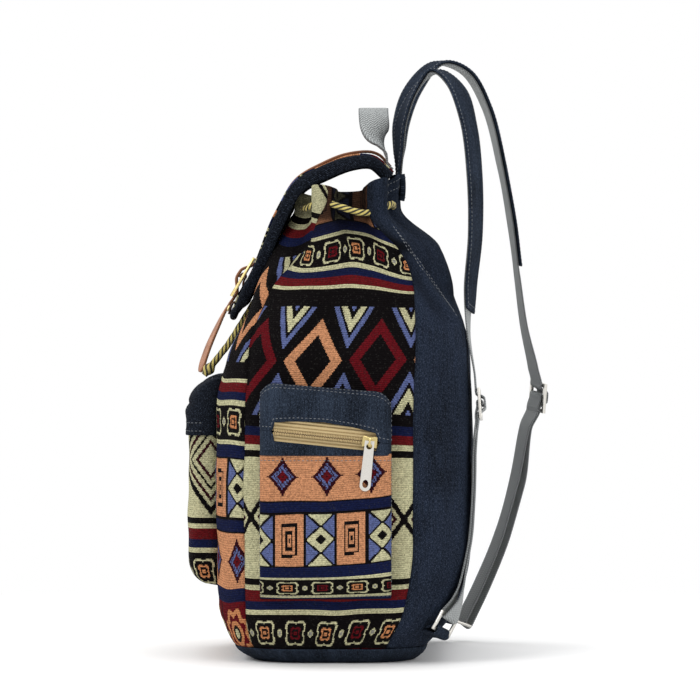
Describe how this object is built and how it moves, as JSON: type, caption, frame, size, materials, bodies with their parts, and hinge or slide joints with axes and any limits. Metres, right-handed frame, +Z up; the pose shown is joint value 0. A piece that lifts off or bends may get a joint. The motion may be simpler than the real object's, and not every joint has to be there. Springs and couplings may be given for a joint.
{
  "type": "canvas backpack",
  "caption": "Bucket-shaped cloth backpack with a drawcord neck under a buckled flap, zipped side pockets, a front pocket, a carrying handle and two adjustable shoulder straps.",
  "frame": {"origin": "middle of the flat base, on the floor", "axes": "+Z up, -Y towards the front with the flap buckle, +X to the right of the wearer"},
  "size_m": [0.3426, 0.3078, 0.4987],
  "materials": {
    "woven_cloth": "patterned weave",
    "denim": "twill",
    "lining": "plain weave",
    "webbing": "ribbed",
    "leather": "smooth",
    "cord": "twisted",
    "tape": "ribbed",
    "metal": "polished"
  },
  "bodies": {
    "bag": {"front_panel": "woven_cloth", "side_panel_right": "woven_cloth", "side_panel_left": "woven_cloth", "flap_panel": "woven_cloth", "front_pocket_face": "woven_cloth", "side_pocket_face_right": "woven_cloth", "side_pocket_face_left": "woven_cloth", "back_panel": "denim", "base_panel": "denim", "flap_binding": "denim", "strap_facing_right": "denim", "strap_facing_left": "denim", "ring_tab_right": "denim", "ring_tab_left": "denim", "neck_tab_right": "denim", "neck_tab_left": "denim", "front_pocket_hood": "denim", "side_pocket_hood_right": "denim", "side_pocket_hood_left": "denim", "flap_lining": "lining", "grab_handle": "webbing", "shoulder_webbing_right": "webbing", "shoulder_webbing_left": "webbing", "flap_strap": "leather", "buckle_chape": "leather", "drawcord": "cord", "cord_tail_right": "cord", "cord_tail_left": "cord", "cord_knot_right": "cord", "cord_knot_left": "cord", "zip_tape_upper_right": "tape", "zip_tape_lower_right": "tape", "zip_tape_upper_left": "tape", "zip_tape_lower_left": "tape", "zip_coil_upper_right": "tape", "zip_coil_lower_right": "tape", "zip_coil_upper_left": "tape", "zip_coil_lower_left": "tape", "buckle_frame": "metal", "rivet_right": "metal", "rivet_left": "metal", "strap_adjuster_right": "metal", "strap_adjuster_left": "metal", "lower_ring_right": "metal", "lower_ring_left": "metal"},
    "slider_right": {"zip_slider_right": "metal"},
    "puller_right": {"zip_puller_right": "metal"},
    "slider_left": {"zip_slider_left": "metal"},
    "puller_left": {"zip_puller_left": "metal"}
  },
  "joints": [
    {"name": "right_zip_slide", "type": "slide", "parent": "bag", "child": "slider_right", "axis": [0, 0.9945, -0.1045], "range_m": [-0.072, 0]},
    {"name": "right_puller_swing", "type": "hinge", "parent": "slider_right", "child": "puller_right", "pos_m": [0.16686, 0.0253, 0.18424], "axis": [0, -0.9945, 0.1045], "range_deg": [0, 170]},
    {"name": "left_zip_slide", "type": "slide", "parent": "bag", "child": "slider_left", "axis": [0, 0.9945, -0.1045], "range_m": [-0.072, 0]},
    {"name": "left_puller_swing", "type": "hinge", "parent": "slider_left", "child": "puller_left", "pos_m": [-0.16686, 0.0253, 0.18424], "axis": [0, 0.9945, -0.1045], "range_deg": [0, 170]}
  ]
}
